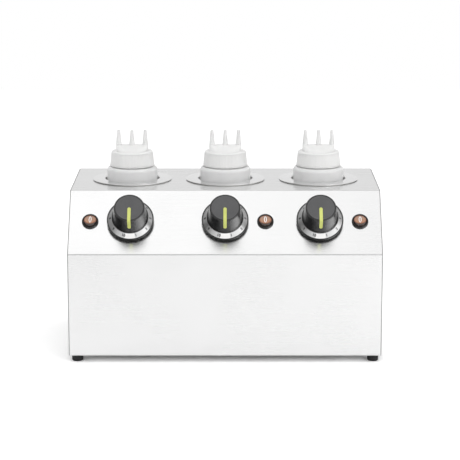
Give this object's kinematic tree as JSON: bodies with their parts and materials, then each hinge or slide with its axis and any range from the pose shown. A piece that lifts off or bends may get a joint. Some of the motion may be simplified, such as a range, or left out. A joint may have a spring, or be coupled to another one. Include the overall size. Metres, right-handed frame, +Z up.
{
  "type": "topping warmer",
  "caption": "Stainless countertop warmer with heated wells that hold squeeze bottles, each with a thermostat knob and a rocker switch on a sloping panel.",
  "frame": {"origin": "bottom centre of the bounding box, on the surface under the feet", "axes": "+X to the user's right, +Y to the back, +Z up"},
  "size_m": [0.43, 0.264, 0.2998],
  "materials": {
    "stainless_brushed": "fine brushed stainless sheet",
    "stainless_polished": "drawn and polished stainless",
    "zinc_steel": "zinc plated steel",
    "heater_sheath": "rolled metal heater sheath",
    "copper_brass": "plain copper and brass",
    "rubber_foot": "matt black rubber",
    "silicone_seal": "black silicone",
    "gland_nylon": "black nylon",
    "terminal_ceramic": "glazed ceramic",
    "switch_black": "black moulded plastic",
    "lens_amber": "amber translucent plastic",
    "knob_black": "black moulded plastic, satin gloss",
    "knob_face_grey": "dark grey satin inlay",
    "pointer_yellow": "yellow-green moulded bar",
    "dial_silver": "spun silver ring",
    "bottle_translucent": "translucent natural polyethylene",
    "cap_white": "white translucent polyethylene"
  },
  "bodies": {
    "cabinet": {"wrapper_shell": "stainless_brushed", "back_panel": "stainless_brushed", "side_panel_left": "stainless_brushed", "side_panel_right": "stainless_brushed", "base_plate": "stainless_brushed", "base_screws": "zinc_steel", "feet": "rubber_foot", "foot_screws": "zinc_steel", "cable_gland": "gland_nylon", "gland_nut": "gland_nylon", "terminal_block": "terminal_ceramic", "earth_stud": "copper_brass", "thermostat_screws": "zinc_steel", "heater_clamp_bolts": "zinc_steel", "bulb_clips": "stainless_polished", "well_1": "stainless_polished", "well_2": "stainless_polished", "well_3": "stainless_polished", "well_seal_1": "silicone_seal", "well_seal_2": "silicone_seal", "well_seal_3": "silicone_seal", "band_heater_1": "heater_sheath", "band_heater_2": "heater_sheath", "band_heater_3": "heater_sheath", "thermostat_1": "zinc_steel", "thermostat_2": "zinc_steel", "thermostat_3": "zinc_steel", "sensing_bulb_1": "copper_brass", "sensing_bulb_2": "copper_brass", "sensing_bulb_3": "copper_brass", "switch_body_1": "switch_black", "switch_body_2": "switch_black", "switch_body_3": "switch_black"},
    "dial_1": {"knob_1": "knob_black", "knob_face_1": "knob_face_grey", "knob_pointer_1": "pointer_yellow", "dial_ring_1": "dial_silver", "thermostat_shaft_1": "zinc_steel"},
    "rocker_1": {"switch_rocker_1": "lens_amber"},
    "squeeze_bottle_1": {"bottle_1": "bottle_translucent"},
    "nozzle_cap_1": {"bottle_cap_1": "cap_white"},
    "dial_2": {"knob_2": "knob_black", "knob_face_2": "knob_face_grey", "knob_pointer_2": "pointer_yellow", "dial_ring_2": "dial_silver", "thermostat_shaft_2": "zinc_steel"},
    "rocker_2": {"switch_rocker_2": "lens_amber"},
    "squeeze_bottle_2": {"bottle_2": "bottle_translucent"},
    "nozzle_cap_2": {"bottle_cap_2": "cap_white"},
    "dial_3": {"knob_3": "knob_black", "knob_face_3": "knob_face_grey", "knob_pointer_3": "pointer_yellow", "dial_ring_3": "dial_silver", "thermostat_shaft_3": "zinc_steel"},
    "rocker_3": {"switch_rocker_3": "lens_amber"},
    "squeeze_bottle_3": {"bottle_3": "bottle_translucent"},
    "nozzle_cap_3": {"bottle_cap_3": "cap_white"}
  },
  "joints": [
    {"name": "knob_turn_1", "type": "hinge", "parent": "cabinet", "child": "dial_1", "pos_m": [-0.13, -0.08971, 0.19106], "axis": [0, 0.7472, -0.6645], "range_deg": [0, 342]},
    {"name": "knob_turn_2", "type": "hinge", "parent": "cabinet", "child": "dial_2", "pos_m": [0, -0.08971, 0.19106], "axis": [0, 0.7472, -0.6645], "range_deg": [0, 342]},
    {"name": "knob_turn_3", "type": "hinge", "parent": "cabinet", "child": "dial_3", "pos_m": [0.13, -0.08971, 0.19106], "axis": [0, 0.7472, -0.6645], "range_deg": [0, 342]},
    {"name": "switch_rock_1", "type": "hinge", "parent": "cabinet", "child": "rocker_1", "pos_m": [-0.1853, -0.09049, 0.19176], "axis": [1, 0, 0], "range_deg": [0, 20]},
    {"name": "switch_rock_2", "type": "hinge", "parent": "cabinet", "child": "rocker_2", "pos_m": [0.0553, -0.09049, 0.19176], "axis": [1, 0, 0], "range_deg": [0, 20]},
    {"name": "switch_rock_3", "type": "hinge", "parent": "cabinet", "child": "rocker_3", "pos_m": [0.1853, -0.09049, 0.19176], "axis": [1, 0, 0], "range_deg": [0, 20]},
    {"name": "bottle_lift_1", "type": "slide", "parent": "cabinet", "child": "squeeze_bottle_1", "axis": [0, 0, 1], "range_m": [0, 0.18]},
    {"name": "bottle_lift_2", "type": "slide", "parent": "cabinet", "child": "squeeze_bottle_2", "axis": [0, 0, 1], "range_m": [0, 0.18]},
    {"name": "bottle_lift_3", "type": "slide", "parent": "cabinet", "child": "squeeze_bottle_3", "axis": [0, 0, 1], "range_m": [0, 0.18]},
    {"name": "cap_lift_1", "type": "slide", "parent": "squeeze_bottle_1", "child": "nozzle_cap_1", "axis": [0, 0, 1], "range_m": [0, 0.06]},
    {"name": "cap_lift_2", "type": "slide", "parent": "squeeze_bottle_2", "child": "nozzle_cap_2", "axis": [0, 0, 1], "range_m": [0, 0.06]},
    {"name": "cap_lift_3", "type": "slide", "parent": "squeeze_bottle_3", "child": "nozzle_cap_3", "axis": [0, 0, 1], "range_m": [0, 0.06]}
  ]
}
